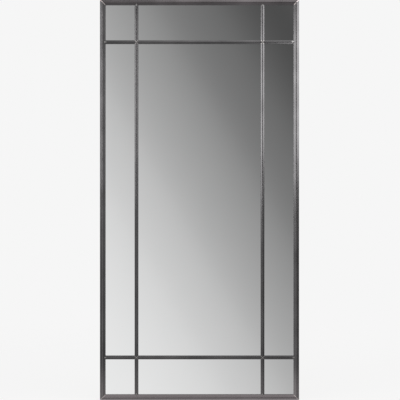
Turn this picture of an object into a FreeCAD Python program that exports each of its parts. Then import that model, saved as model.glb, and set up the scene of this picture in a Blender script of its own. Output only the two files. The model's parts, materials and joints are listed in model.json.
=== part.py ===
"""Leaning floor mirror with a gabled metal frame and a grid of nine panes.

Axes: X across the face, Y through the depth with the face towards -Y, Z up. The origin is
under the middle of the bottom rail. Millimetres throughout.

Places in the frame's section are given by two measures: the inset, from the outer edge of
the frame towards its middle, and the height, from the rear edge of the frame towards the
face. Formulas are texts in the names of the sizes below.
"""

import FreeCAD, Part
import os
import re
import Sketcher

SIZES = {
    # Frame as a whole
    "overall_width": 900.0,
    "overall_height": 1810.0,
    # Frame profile: a hollow section with a gabled front, a lip and a rear skirt
    "frame_face": 25.0,
    "leg_width": 18.0,
    "wall_thickness": 1.5,
    "recess_depth": 8.0,
    "lip_thickness": 4.0,
    "ridge_rise": 7.0,
    "ridge_radius": 4.0,
    "arris_radius": 0.6,
    # Sheets behind the lip
    "panel_thickness": 5.0,
    "panel_gap": 1.0,
    "glass_thickness": 5.0,
    "glass_gap": 2.0,
    "glass_arris": 0.8,
    "tape_thickness": 1.0,
    "glazing_tape_width": 4.0,
    "glazing_tape_setback": 0.6,
    "block_length": 80.0,
    "block_inset": 225.0,
    # Glazing bars on the face of the glass
    "muntin_width": 17.0,
    "muntin_edge": 2.0,
    "muntin_rise": 5.0,
    "muntin_wall": 1.2,
    "muntin_radius": 4.0,
    "muntin_side_inset": 165.0,
    "muntin_end_inset": 192.0,
    "muntin_tape_width": 10.0,
    # Corner keys
    "key_arm": 60.0,
    "key_clearance": 0.2,
    "key_screw_inset": 42.0,
    # Turn buttons
    "button_thickness": 1.2,
    "button_pivot_radius": 5.5,
    "button_tip_radius": 3.5,
    "button_reach": 20.5,
    "button_play": 0.1,
    "stile_button_inset": 250.0,
    "rail_button_inset": 225.0,
    # D-ring hangers
    "hanger_inset": 14.0,
    "hanger_drop": 400.0,
    "strap_width": 14.0,
    "strap_length": 45.0,
    "strap_thickness": 1.2,
    "strap_corner": 3.0,
    "strap_first_hole": 25.5,
    "strap_second_hole": 38.0,
    "ring_inner_width": 17.0,
    "ring_wire": 3.5,
    "ring_corner": 3.0,
    "ring_side": 8.0,
    "ring_play": 0.1,
    "ring_rest_gap": 0.3,
    # Wall bumpers
    "bumper_base_radius": 7.0,
    "bumper_tip_radius": 6.0,
    "bumper_proud": 2.0,
    "bumper_floor": 3.0,
    "bumper_bore_play": 0.2,
    "bumper_sink_radius": 3.7,
    "bumper_edge": 0.8,
    "bumper_inset": 110.0,
    # Pan-head screws
    "screw_radius": 1.75,
    "screw_length": 8.0,
    "screw_head_radius": 3.3,
    "screw_head_height": 2.2,
    "screw_head_rim": 0.9,
    "screw_thread_play": 0.05,
    # Every cut runs past the metal by this much
    "cut_overrun": 3.0,
}

document = FreeCAD.newDocument("floor_mirror")
sheet = document.addObject("Spreadsheet::Sheet", "Sizes")
for row, (alias, size) in enumerate(SIZES.items(), start=1):
    sheet.set(f"A{row}", str(size))
    sheet.setAlias(f"A{row}", alias)
document.recompute()

# Heights of the layers above the rear edge of the frame
PANEL_FRONT = "(recess_depth + panel_thickness)"
GLASS_FRONT = f"({PANEL_FRONT} + glass_thickness)"
SEAT = f"({GLASS_FRONT} + tape_thickness)"
SHOULDER = f"({SEAT} + lip_thickness)"
RIDGE = f"({SHOULDER} + ridge_rise)"
MUNTIN_SHOULDER = f"({SEAT} + muntin_edge)"
MUNTIN_RIDGE = f"({MUNTIN_SHOULDER} + muntin_rise)"
RIDGE_LOSS = "(ridge_radius * (sqrt(1 + (2 * ridge_rise / frame_face)^2) - 1))"
REAR = f"(({RIDGE} - {RIDGE_LOSS} - bumper_proud) / 2)"

# Lines that several pieces share
LEG_MIDDLE = "((wall_thickness + leg_width) / 2)"
MUNTIN_SIDE = "(overall_width / 2 - muntin_side_inset)"
MUNTIN_UPPER = "(overall_height - muntin_end_inset)"
MUNTIN_LOWER = "muntin_end_inset"
STRAP_STACK = "(2 * strap_thickness)"
RING_BORE = "(ring_wire / 2 + ring_play)"
RING_AXIS = f"(strap_thickness + {RING_BORE})"
RING_HALF = "((ring_inner_width + ring_wire) / 2)"
RING_REACH = f"(ring_side + {RING_HALF})"
HANGER_LEVEL = "(overall_height - hanger_drop)"

nodes = {}


def formula(text):
    """The text with each size name pointed at its cell."""
    return re.sub(r"[a-z_]+", lambda word: f"Sizes.{word[0]}" if word[0] in SIZES else word[0], text)


def value(text):
    """What the formula gives at the present sizes."""
    return float(sheet.evalExpression(formula(text)))


def bind(target, **formulas):
    """Ties properties, with dots written as double underscores, to formulas."""
    for path, text in formulas.items():
        target.setExpression(path.replace("__", "."), formula(text))


def depth(height):
    """The Y place of a height above the rear edge of the frame."""
    return f"({REAR} - ({height}))"


def across(side, inset):
    """The X place of an inset from the left (-1) or right (1) outer edge."""
    return f"({side} * (overall_width / 2 - ({inset})))"


def level(end, inset):
    """The Z place of an inset from the bottom (-1) or top (1) outer edge."""
    return f"({inset})" if end < 0 else f"(overall_height - ({inset}))"


def new_body(name):
    """An empty body, registered as the node of that name."""
    body = document.addObject("PartDesign::Body", name)
    body.Label = name
    nodes[name] = body
    return body


def place(body, x="0", y="0", z="0"):
    """Sets a body at the place that three formulas give."""
    bind(body, Placement__Base__x=x, Placement__Base__y=y, Placement__Base__z=z)


def sketch_on(body, plane, offset="0"):
    """A sketch on one of the body's origin planes, moved along its normal."""
    sketch = body.newObject("Sketcher::SketchObject", f"{body.Name}_sketch")
    support = next(feature for feature in body.Origin.OriginFeatures if feature.Role == plane)
    sketch.AttachmentSupport = (support, [""])
    sketch.MapMode = "FlatFace"
    bind(sketch, AttachmentOffset__Base__z=offset)
    return sketch


def measure(sketch, kind, text, *elements):
    """A dimension of a sketch, tied to a formula."""
    index = sketch.addConstraint(Sketcher.Constraint(kind, *elements, value(text)))
    sketch.setExpression(f"Constraints[{index}]", formula(text))


def pin(sketch, geometry, point, place_of_point):
    """Dimensions one point of a sketch from the sketch's origin."""
    across_text, up_text = place_of_point
    measure(sketch, "DistanceX", across_text, -1, 1, geometry, point)
    measure(sketch, "DistanceY", up_text, -1, 1, geometry, point)


def outline(sketch, corners):
    """A closed outline of straight edges through corners, each a pair of formulas."""
    points = [FreeCAD.Vector(value(x), value(y), 0) for x, y in corners]
    first = sketch.GeometryCount
    for start, end in zip(points, points[1:] + points[:1]):
        sketch.addGeometry(Part.LineSegment(start, end))
    for index, corner in enumerate(corners):
        following = first + (index + 1) % len(corners)
        sketch.addConstraint(Sketcher.Constraint("Coincident", first + index, 2, following, 1))
        pin(sketch, first + index, 1, corner)


def circle(sketch, centre, radius):
    """A circle at a pair of formulas."""
    middle = FreeCAD.Vector(value(centre[0]), value(centre[1]), 0)
    index = sketch.addGeometry(Part.Circle(middle, FreeCAD.Vector(0, 0, 1), value(radius)))
    pin(sketch, index, 3, centre)
    measure(sketch, "Radius", radius, index)


def pad(body, sketch, length, both_ways=False):
    """Raises a sketch by a length, or by half of it each way."""
    feature = body.newObject("PartDesign::Pad", f"{body.Name}_pad")
    feature.Profile = sketch
    feature.SideType = "Symmetric" if both_ways else "One side"
    bind(feature, Length=length)
    document.recompute()
    return feature


def cut(body, sketch, length=None, reverse=False):
    """Cuts a sketch through the whole body, or to a length along its normal if reversed."""
    before = body.Shape.Volume
    feature = body.newObject("PartDesign::Pocket", f"{body.Name}_cut")
    feature.Profile = sketch
    if length is None:
        feature.SideType = "Symmetric"
        feature.Type = "ThroughAll"
    else:
        feature.Reversed = reverse
        bind(feature, Length=length)
    document.recompute()
    if not body.Shape.Volume < before:
        raise RuntimeError(f"A cut in {body.Label} removes nothing")
    return feature


def turn(body, sketch):
    """Revolves a sketch about its own vertical axis."""
    feature = body.newObject("PartDesign::Revolution", f"{body.Name}_turn")
    feature.Profile = sketch
    feature.ReferenceAxis = (sketch, ["V_Axis"])
    document.recompute()
    return feature


def edges_where(shape, test):
    """Names of the edges whose two ends and middle all pass a test."""
    names = []
    for index, edge in enumerate(shape.Edges, start=1):
        middle = edge.valueAt((edge.FirstParameter + edge.LastParameter) / 2)
        points = [vertex.Point for vertex in edge.Vertexes] + [middle]
        if all(test(point) for point in points):
            names.append(f"Edge{index}")
    return names


def round_edges(body, radius, test):
    """Fillets the edges of the body that pass a test."""
    base = body.Tip
    feature = body.newObject("PartDesign::Fillet", f"{body.Name}_round")
    feature.Base = (base, edges_where(base.Shape, test))
    bind(feature, Radius=radius)
    document.recompute()


def near(first, second):
    """Whether two lengths are the same to well under a wall."""
    return abs(first - second) < value("wall_thickness") / 100


def gabled_section(width, foot, shoulder, ridge):
    """Outer corners of a gabled bar, as pairs of offset from its middle line and height."""
    half = f"({width}) / 2"
    return [
        (f"-{half}", foot),
        (f"-{half}", shoulder),
        ("0", ridge),
        (half, shoulder),
        (half, foot),
    ]


def gabled_bore(width, rise, foot, shoulder, ridge, wall):
    """Inner corners of a gabled bar whose walls all have the same thickness."""
    half = f"(({width}) / 2 - {wall})"
    drop = f"({wall} * sqrt(1 + (2 * {rise} / ({width}))^2))"
    eaves = f"({shoulder} + 2 * {rise} * {wall} / ({width}) - {drop})"
    return [
        (f"-{half}", f"{foot} + {wall}"),
        (f"-{half}", eaves),
        ("0", f"{ridge} - {drop}"),
        (half, eaves),
        (half, f"{foot} + {wall}"),
    ]


# Section of the frame, as pairs of inset and height
FRAME_MIDDLE = "frame_face / 2"
FRAME_DROP = "(wall_thickness * sqrt(1 + (2 * ridge_rise / frame_face)^2))"
FRAME_EAVES = f"({SHOULDER} + 2 * ridge_rise * wall_thickness / frame_face - {FRAME_DROP})"
FRAME_SECTION = [
    ("0", "0"),
    ("0", SHOULDER),
    (FRAME_MIDDLE, RIDGE),
    ("frame_face", SHOULDER),
    ("frame_face", SEAT),
    ("leg_width", SEAT),
    ("leg_width", "recess_depth"),
    ("wall_thickness", "recess_depth"),
    ("wall_thickness", "0"),
]
FRAME_BORE = [
    ("wall_thickness", "recess_depth + wall_thickness"),
    ("wall_thickness", FRAME_EAVES),
    (FRAME_MIDDLE, f"{RIDGE} - {FRAME_DROP}"),
    ("frame_face - wall_thickness", FRAME_EAVES),
    ("frame_face - wall_thickness", f"{SEAT} + wall_thickness"),
    ("leg_width - wall_thickness", f"{SEAT} + wall_thickness"),
    ("leg_width - wall_thickness", "recess_depth + wall_thickness"),
]
STILE_BUTTONS = ["stile_button_inset", "overall_height / 2", "overall_height - stile_button_inset"]
RAIL_BUTTONS = [across(side, "rail_button_inset") for side in (-1, 1)]
HANGER_HOLES = [f"{HANGER_LEVEL} - {hole}" for hole in ("strap_first_hole", "strap_second_hole")]
BUMPER_LEVELS = [level(end, "bumper_inset") for end in (-1, 1)]
KEY_LEVELS = [level(end, "key_screw_inset") for end in (-1, 1)]
KEY_PLACES = [across(side, "key_screw_inset") for side in (-1, 1)]
SCREW_HOLE = "screw_radius + screw_thread_play"


def drill(body, centres):
    """Screw holes through the rear wall of a frame member."""
    sketch = sketch_on(body, "XZ_Plane", f"-{depth('recess_depth')}")
    for centre in centres:
        circle(sketch, centre, SCREW_HOLE)
    cut(body, sketch, "2 * wall_thickness", reverse=True)


def mitre(body, corner):
    """Takes both ends off a frame member at 45 degrees; corner gives X, Z for end, inset pairs."""
    sketch = sketch_on(body, "XZ_Plane")
    past = "frame_face + cut_overrun"
    for end in (-1, 1):
        outline(sketch, [
            corner(end, "-cut_overrun", "-cut_overrun"),
            corner(end, "-cut_overrun", past),
            corner(end, past, past),
        ])
    cut(body, sketch)


def round_front(body, test_line):
    """Softens the ridge and the two front arrises of a frame member."""
    ridge = value(depth(RIDGE))
    shoulder = value(depth(SHOULDER))
    round_edges(body, "ridge_radius", lambda point: near(point.y, ridge))
    round_edges(body, "arris_radius", lambda point: near(point.y, shoulder) and test_line(point))


def frame_stile(name, side):
    """One upright of the frame, mitred at both ends and drilled from behind."""
    body = new_body(name)
    sketch = sketch_on(body, "XY_Plane")
    for loop in (FRAME_SECTION, FRAME_BORE):
        outline(sketch, [(across(side, inset), depth(height)) for inset, height in loop])
    pad(body, sketch, "overall_height")
    edges = [value(across(side, inset)) for inset in ("0", "frame_face")]
    round_front(body, lambda point: any(near(point.x, edge) for edge in edges))
    mitre(body, lambda end, along, inset: (across(side, inset), level(end, along)))
    line = across(side, LEG_MIDDLE)
    drill(
        body,
        [(line, place_up) for place_up in STILE_BUTTONS + BUMPER_LEVELS + KEY_LEVELS]
        + [(across(side, "hanger_inset"), hole) for hole in HANGER_HOLES],
    )


def frame_rail(name, end):
    """The top or bottom of the frame, mitred at both ends and drilled from behind."""
    body = new_body(name)
    sketch = sketch_on(body, "YZ_Plane")
    for loop in (FRAME_SECTION, FRAME_BORE):
        outline(sketch, [(depth(height), level(end, inset)) for inset, height in loop])
    pad(body, sketch, "overall_width", both_ways=True)
    edges = [value(level(end, inset)) for inset in ("0", "frame_face")]
    round_front(body, lambda point: any(near(point.z, edge) for edge in edges))
    mitre(body, lambda side, along, inset: (across(side, along), level(end, inset)))
    drill(body, [(place_across, level(end, LEG_MIDDLE)) for place_across in RAIL_BUTTONS + KEY_PLACES])


def corner_key(name, side, end):
    """An angle key that fills the hollow legs at one corner and takes two screws."""
    body = new_body(name)
    outer = "(wall_thickness + key_clearance)"
    inner = "(leg_width - wall_thickness - key_clearance)"
    back = f"(recess_depth + {outer})"
    front = f"({SEAT} + wall_thickness - key_clearance)"
    sketch = sketch_on(body, "XZ_Plane", f"-{depth(back)}")
    outline(sketch, [
        (across(side, along), level(end, inset))
        for along, inset in [
            (outer, outer),
            ("key_arm", outer),
            ("key_arm", inner),
            (inner, inner),
            (inner, "key_arm"),
            (outer, "key_arm"),
        ]
    ])
    pad(body, sketch, f"{front} - {back}")
    holes = sketch_on(body, "XZ_Plane")
    circle(holes, (across(side, LEG_MIDDLE), level(end, "key_screw_inset")), SCREW_HOLE)
    circle(holes, (across(side, "key_screw_inset"), level(end, LEG_MIDDLE)), SCREW_HOLE)
    cut(body, holes)


def muntin_profile(body, plane, swap):
    """The hollow gabled section of a glazing bar on a plane of its body."""
    sketch = sketch_on(body, plane)
    loops = [
        gabled_section("muntin_width", SEAT, MUNTIN_SHOULDER, MUNTIN_RIDGE),
        gabled_bore("muntin_width", "muntin_rise", SEAT, MUNTIN_SHOULDER, MUNTIN_RIDGE, "muntin_wall"),
    ]
    for loop in loops:
        places = [(offset, depth(height)) for offset, height in loop]
        outline(sketch, [corner[::-1] for corner in places] if swap else places)
    return sketch


def round_muntin(body):
    """Softens the ridge of a glazing bar."""
    ridge = value(depth(MUNTIN_RIDGE))
    round_edges(body, "muntin_radius", lambda point: near(point.y, ridge))


def frame_cope(edge_place):
    """Room that the frame's inner slope takes from a bar that runs into it."""
    past = "frame_face / 2 - cut_overrun"
    return [
        (edge_place("frame_face"), f"{SEAT} - cut_overrun"),
        (edge_place("frame_face"), SHOULDER),
        (edge_place(FRAME_MIDDLE), RIDGE),
        (edge_place(past), RIDGE),
        (edge_place(past), f"{SEAT} - cut_overrun"),
    ]


def muntin_cope(line, way):
    """Room that a level bar takes from an upright which runs over it, up (1) or down (-1)."""
    side = f"({line} + {way} * muntin_width / 2)"
    past = f"({line} - {way} * cut_overrun)"
    return [
        (side, f"{SEAT} - cut_overrun"),
        (side, MUNTIN_SHOULDER),
        (line, MUNTIN_RIDGE),
        (past, MUNTIN_RIDGE),
        (past, f"{SEAT} - cut_overrun"),
    ]


def level_bar(name, height):
    """A level glazing bar from stile to stile, coped to the stiles' slopes."""
    body = new_body(name)
    sketch = muntin_profile(body, "YZ_Plane", swap=True)
    pad(body, sketch, "overall_width - frame_face", both_ways=True)
    round_muntin(body)
    copes = sketch_on(body, "XY_Plane")
    for side in (-1, 1):
        corners = frame_cope(lambda inset: across(side, inset))
        outline(copes, [(line, depth(up)) for line, up in corners])
    cut(body, copes)
    place(body, z=height)


def upright_bar(name, side, low, high, copes):
    """A length of an upright glazing bar, coped at both ends to what it meets."""
    body = new_body(name)
    sketch = muntin_profile(body, "XY_Plane", swap=False)
    bind(sketch, AttachmentOffset__Base__z=low)
    pad(body, sketch, f"{high} - {low}")
    round_muntin(body)
    ends = sketch_on(body, "YZ_Plane")
    for corners in copes:
        outline(ends, [(depth(up), line) for line, up in corners])
    cut(body, ends)
    place(body, x=f"{side} * {MUNTIN_SIDE}")


def strip(name, low, high):
    """A plain strip between two corners, each given by three formulas."""
    box = document.addObject("Part::Box", name)
    spans = [f"({end}) - ({start})" for start, end in zip(low, high)]
    bind(box, Length=spans[0], Width=spans[1], Height=spans[2])
    place(box, *low)
    return box


def group(name, members):
    """Like pieces gathered into one node as separate solids."""
    compound = document.addObject("Part::Compound", name)
    compound.Label = name
    compound.Links = members
    for member in members:
        nodes.pop(member.Label, None)
    nodes[name] = compound


def glazing_tapes():
    """Foam strips that cushion the glass behind the frame's lip."""
    inner = "(frame_face - glazing_tape_setback)"
    outer = f"({inner} - glazing_tape_width)"
    back = depth(SEAT)
    front = depth(GLASS_FRONT)
    strips = []
    for side, end in ((-1, -1), (1, 1)):
        xs = sorted((across(side, outer), across(side, inner)), key=value)
        zs = sorted((level(end, outer), level(end, inner)), key=value)
        upright = strip("side_tape", (xs[0], back, outer), (xs[1], front, level(1, outer)))
        flat = strip("end_tape", (across(-1, inner), back, zs[0]), (across(1, inner), front, zs[1]))
        strips += [upright, flat]
    group("glazing_tapes", strips)


def muntin_tapes():
    """Bonding strips between the glazing bars and the glass."""
    half = "muntin_tape_width / 2"
    back = depth(SEAT)
    front = depth(GLASS_FRONT)
    strips = []
    for line in (MUNTIN_LOWER, MUNTIN_UPPER):
        low = (across(-1, "frame_face"), back, f"{line} - {half}")
        high = (across(1, "frame_face"), front, f"{line} + {half}")
        strips.append(strip("level_tape", low, high))
    runs = [
        ("frame_face", f"{MUNTIN_LOWER} - {half}"),
        (f"{MUNTIN_LOWER} + {half}", f"{MUNTIN_UPPER} - {half}"),
        (f"{MUNTIN_UPPER} + {half}", level(1, "frame_face")),
    ]
    for side in (-1, 1):
        line = f"{side} * {MUNTIN_SIDE}"
        for start, end in runs:
            low = (f"{line} - {half}", back, start)
            high = (f"{line} + {half}", front, end)
            strips.append(strip("upright_tape", low, high))
    group("muntin_tapes", strips)


def setting_blocks():
    """Two rubber blocks on the bottom rail that carry the glass."""
    blocks = []
    for side in (-1, 1):
        line = across(side, "block_inset")
        low = (f"{line} - block_length / 2", depth(GLASS_FRONT), "leg_width")
        high = (f"{line} + block_length / 2", depth(PANEL_FRONT), "leg_width + glass_gap")
        blocks.append(strip("setting_block", low, high))
    group("setting_blocks", blocks)


def sheet_piece(name, gap, back, thickness):
    """A flat sheet in the frame's rebate, with a gap to the legs all round."""
    body = new_body(name)
    inset = f"(leg_width + {gap})"
    sketch = sketch_on(body, "XZ_Plane", f"-{depth(back)}")
    outline(sketch, [
        (across(-1, inset), level(-1, inset)),
        (across(1, inset), level(-1, inset)),
        (across(1, inset), level(1, inset)),
        (across(-1, inset), level(1, inset)),
    ])
    pad(body, sketch, thickness)
    return body


def mirror_glass():
    """The silvered sheet, with its edges ground to a small arris."""
    body = sheet_piece("mirror_glass", "glass_gap", PANEL_FRONT, "glass_thickness")
    faces = [value(depth(PANEL_FRONT)), value(depth(GLASS_FRONT))]
    base = body.Tip
    arris = body.newObject("PartDesign::Chamfer", "mirror_glass_arris")
    edges = edges_where(base.Shape, lambda point: any(near(point.y, face) for face in faces))
    arris.Base = (base, edges)
    bind(arris, Size="glass_arris")


def pan_head_screw(name, x, seat_height, z):
    """A screw driven from behind, with the underside of its head at a height."""
    body = new_body(name)
    sketch = sketch_on(body, "XY_Plane")
    corners = [
        ("0", "screw_head_height"),
        ("0", "-screw_length"),
        ("screw_radius", "-screw_length"),
        ("screw_radius", "0"),
        ("screw_head_radius", "0"),
        ("screw_head_radius", "screw_head_rim"),
    ]
    points = [FreeCAD.Vector(value(across_text), value(up), 0) for across_text, up in corners]
    for start, end in zip(points, points[1:]):
        sketch.addGeometry(Part.LineSegment(start, end))
    crown = value("screw_head_height")
    rim = value("screw_head_rim")
    reach = value("screw_head_radius")
    dome_radius = (reach**2 + (crown - rim) ** 2) / (2 * (crown - rim))
    centre = FreeCAD.Vector(0, crown - dome_radius, 0)
    ring = Part.Circle(centre, FreeCAD.Vector(0, 0, 1), dome_radius)
    dome = sketch.addGeometry(Part.ArcOfCircle(ring, ring.parameter(points[-1]), ring.parameter(points[0])))
    last = len(corners) - 2
    for index in range(last):
        sketch.addConstraint(Sketcher.Constraint("Coincident", index, 2, index + 1, 1))
        pin(sketch, index, 1, corners[index])
    pin(sketch, last, 1, corners[last])
    pin(sketch, last, 2, corners[last + 1])
    sketch.addConstraint(Sketcher.Constraint("Coincident", last, 2, dome, 1))
    sketch.addConstraint(Sketcher.Constraint("Coincident", dome, 2, 0, 1))
    sketch.addConstraint(Sketcher.Constraint("PointOnObject", dome, 3, -2))
    turn(body, sketch)
    place(body, x, depth(seat_height), z)
    return body


def turn_button(name, x, z, angle):
    """A pear-shaped plate that swings on its screw and holds the back panel in."""
    body = new_body(name)
    sketch = sketch_on(body, "XZ_Plane", "-button_thickness")
    wide = value("button_pivot_radius")
    narrow = value("button_tip_radius")
    reach = value("button_reach")
    lean = (wide - narrow) / reach
    rise = (1 - lean**2) ** 0.5
    normal = FreeCAD.Vector(0, 0, 1)
    tip = FreeCAD.Vector(reach, 0, 0)
    upper = FreeCAD.Vector(lean, rise, 0)
    lower = FreeCAD.Vector(lean, -rise, 0)
    pivot_ring = Part.Circle(FreeCAD.Vector(), normal, wide)
    tip_ring = Part.Circle(tip, normal, narrow)
    sketch.addGeometry([
        Part.ArcOfCircle(pivot_ring, pivot_ring.parameter(upper * wide), pivot_ring.parameter(lower * wide)),
        Part.LineSegment(lower * wide, tip + lower * narrow),
        Part.ArcOfCircle(
            tip_ring,
            tip_ring.parameter(tip + lower * narrow),
            tip_ring.parameter(tip + upper * narrow),
        ),
        Part.LineSegment(tip + upper * narrow, upper * wide),
    ])
    for index in range(4):
        sketch.addConstraint(Sketcher.Constraint("Tangent", index, 2, (index + 1) % 4, 1))
    pin(sketch, 0, 3, ("0", "0"))
    pin(sketch, 2, 3, ("button_reach", "0"))
    measure(sketch, "Radius", "button_pivot_radius", 0)
    measure(sketch, "Radius", "button_tip_radius", 2)
    circle(sketch, ("0", "0"), "screw_radius + button_play")
    pad(body, sketch, "button_thickness")
    body.Placement = FreeCAD.Placement(FreeCAD.Vector(), FreeCAD.Rotation(FreeCAD.Vector(0, 1, 0), angle))
    place(body, x, depth("recess_depth"), z)


def turn_buttons():
    """Turn buttons all round the rebate, with their screws."""
    seat = "recess_depth - button_thickness - button_play"
    stile_names = ("lower", "middle", "upper")
    spots = []
    for side, side_name, angle in ((-1, "left", 0), (1, "right", 180)):
        for where, up in zip(stile_names, STILE_BUTTONS):
            spots.append((f"{side_name}_{where}", across(side, LEG_MIDDLE), up, angle))
    for end, end_name, angle in ((-1, "bottom", -90), (1, "top", 90)):
        for where, line in zip(("left", "right"), RAIL_BUTTONS):
            spots.append((f"{end_name}_{where}", line, level(end, LEG_MIDDLE), angle))
    screws = []
    for where, x, z, angle in spots:
        turn_button(f"turn_button_{where}", x, z, angle)
        screws.append(pan_head_screw(f"button_screw_{where}", x, seat, z))
    group("turn_button_screws", screws)


def hanger_strap(name, side):
    """A folded steel strap: two leaves screwed to the stile and a knuckle round the ring."""
    body = new_body(name)
    leaves = sketch_on(body, "YZ_Plane")
    outline(leaves, [
        ("0", "0"),
        ("0", "-strap_length"),
        (STRAP_STACK, "-strap_length"),
        (STRAP_STACK, "0"),
    ])
    pad(body, leaves, "strap_width", both_ways=True)
    corners = value("strap_width") / 2
    foot = -value("strap_length")
    round_edges(
        body,
        "strap_corner",
        lambda point: near(abs(point.x), corners) and near(point.z, foot),
    )
    knuckle = sketch_on(body, "YZ_Plane")
    circle(knuckle, (RING_AXIS, "0"), f"{RING_BORE} + strap_thickness")
    pad(body, knuckle, "strap_width", both_ways=True)
    bore = sketch_on(body, "YZ_Plane")
    circle(bore, (RING_AXIS, "0"), RING_BORE)
    cut(body, bore)
    holes = sketch_on(body, "XZ_Plane")
    for hole in ("strap_first_hole", "strap_second_hole"):
        circle(holes, ("0", f"-{hole}"), SCREW_HOLE)
    cut(body, holes)
    place(body, across(side, "hanger_inset"), depth("recess_depth"), HANGER_LEVEL)


def hanger_ring(name, side):
    """A closed D of round wire, hanging in the strap's knuckle against the leaves."""
    body = new_body(name)
    half = value(RING_HALF)
    corner = value("ring_corner")
    side_end = value("ring_side")
    normal = FreeCAD.Vector(0, 0, 1)
    path = sketch_on(body, "XZ_Plane")
    left = Part.Circle(FreeCAD.Vector(corner - half, -corner, 0), normal, corner)
    right = Part.Circle(FreeCAD.Vector(half - corner, -corner, 0), normal, corner)
    bow = Part.Circle(FreeCAD.Vector(0, -side_end, 0), normal, half)
    corners = [
        FreeCAD.Vector(corner - half, 0, 0),
        FreeCAD.Vector(half - corner, 0, 0),
        FreeCAD.Vector(half, -corner, 0),
        FreeCAD.Vector(half, -side_end, 0),
        FreeCAD.Vector(-half, -side_end, 0),
        FreeCAD.Vector(-half, -corner, 0),
    ]
    path.addGeometry([
        Part.LineSegment(corners[0], corners[1]),
        Part.ArcOfCircle(right, right.parameter(corners[2]), right.parameter(corners[1])),
        Part.LineSegment(corners[2], corners[3]),
        Part.ArcOfCircle(bow, bow.parameter(corners[4]), bow.parameter(corners[3])),
        Part.LineSegment(corners[4], corners[5]),
        Part.ArcOfCircle(left, left.parameter(corners[0]), left.parameter(corners[5])),
    ])
    for first, end, second, start in (
        (0, 2, 1, 2),
        (1, 1, 2, 1),
        (2, 2, 3, 2),
        (3, 1, 4, 1),
        (4, 2, 5, 2),
        (5, 1, 0, 1),
    ):
        path.addConstraint(Sketcher.Constraint("Tangent", first, end, second, start))
    path.addConstraint(Sketcher.Constraint("Horizontal", 0))
    path.addConstraint(Sketcher.Constraint("Vertical", 2))
    path.addConstraint(Sketcher.Constraint("Vertical", 4))
    measure(path, "DistanceY", "0", -1, 1, 0, 1)
    pin(path, 3, 3, ("0", "-ring_side"))
    measure(path, "Radius", RING_HALF, 3)
    measure(path, "Radius", "ring_corner", 1)
    measure(path, "Radius", "ring_corner", 5)
    wire = sketch_on(body, "YZ_Plane")
    circle(wire, ("0", "0"), "ring_wire / 2")
    ring = body.newObject("PartDesign::AdditivePipe", f"{name}_pipe")
    ring.Profile = wire
    ring.Spine = (path, [f"Edge{index}" for index in range(1, 7)])
    document.recompute()
    lift = f"({STRAP_STACK} + ring_wire / 2 + ring_rest_gap - {RING_AXIS})"
    lean = value(f"asin({lift} / {RING_REACH})")
    body.Placement = FreeCAD.Placement(FreeCAD.Vector(), FreeCAD.Rotation(FreeCAD.Vector(1, 0, 0), lean))
    place(body, across(side, "hanger_inset"), f"{depth('recess_depth')} + {RING_AXIS}", HANGER_LEVEL)


def hangers():
    """The two D-ring hangers and their screws."""
    screws = []
    for side, side_name in ((-1, "left"), (1, "right")):
        hanger_strap(f"hanger_strap_{side_name}", side)
        hanger_ring(f"hanger_ring_{side_name}", side)
        for hole in HANGER_HOLES:
            line = across(side, "hanger_inset")
            screws.append(pan_head_screw("hanger_screw", line, f"recess_depth - {STRAP_STACK}", hole))
    group("hanger_screws", screws)


def wall_bumper(name, side, end):
    """A tapered rubber bumper with a sunk screw, standing a little behind the frame."""
    body = new_body(name)
    tall = "(recess_depth + bumper_proud)"
    bore = "(screw_radius + bumper_bore_play)"
    sketch = sketch_on(body, "XY_Plane")
    outline(sketch, [
        (bore, "0"),
        ("bumper_base_radius", "0"),
        ("bumper_tip_radius", f"{tall} - bumper_edge"),
        ("bumper_tip_radius - bumper_edge", tall),
        ("bumper_sink_radius", tall),
        ("bumper_sink_radius", "bumper_floor"),
        (bore, "bumper_floor"),
    ])
    turn(body, sketch)
    place(body, across(side, LEG_MIDDLE), depth("recess_depth"), level(end, "bumper_inset"))


def corner_pieces():
    """Keys, bumpers and their screws at the four corners."""
    key_screws = []
    bumper_screws = []
    for end, end_name in ((-1, "bottom"), (1, "top")):
        for side, side_name in ((-1, "left"), (1, "right")):
            where = f"{end_name}_{side_name}"
            corner_key(f"corner_key_{where}", side, end)
            wall_bumper(f"wall_bumper_{where}", side, end)
            leg = across(side, LEG_MIDDLE)
            key_spots = [
                (leg, level(end, "key_screw_inset")),
                (across(side, "key_screw_inset"), level(end, LEG_MIDDLE)),
            ]
            for x, z in key_spots:
                key_screws.append(pan_head_screw("key_screw", x, "recess_depth", z))
            seat = "recess_depth - bumper_floor"
            bumper_screws.append(pan_head_screw("bumper_screw", leg, seat, level(end, "bumper_inset")))
    group("corner_key_screws", key_screws)
    group("bumper_screws", bumper_screws)


frame_stile("frame_left_stile", -1)
frame_stile("frame_right_stile", 1)
frame_rail("frame_bottom_rail", -1)
frame_rail("frame_top_rail", 1)

level_bar("muntin_lower_bar", MUNTIN_LOWER)
level_bar("muntin_upper_bar", MUNTIN_UPPER)
bottom_cope = frame_cope(lambda inset: level(-1, inset))
top_cope = frame_cope(lambda inset: level(1, inset))
for side, side_name in ((-1, "left"), (1, "right")):
    upright_bar(
        f"muntin_{side_name}_bottom",
        side,
        FRAME_MIDDLE,
        MUNTIN_LOWER,
        [bottom_cope, muntin_cope(MUNTIN_LOWER, -1)],
    )
    upright_bar(
        f"muntin_{side_name}_middle",
        side,
        MUNTIN_LOWER,
        MUNTIN_UPPER,
        [muntin_cope(MUNTIN_LOWER, 1), muntin_cope(MUNTIN_UPPER, -1)],
    )
    upright_bar(
        f"muntin_{side_name}_top",
        side,
        MUNTIN_UPPER,
        level(1, FRAME_MIDDLE),
        [muntin_cope(MUNTIN_UPPER, 1), top_cope],
    )

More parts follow.
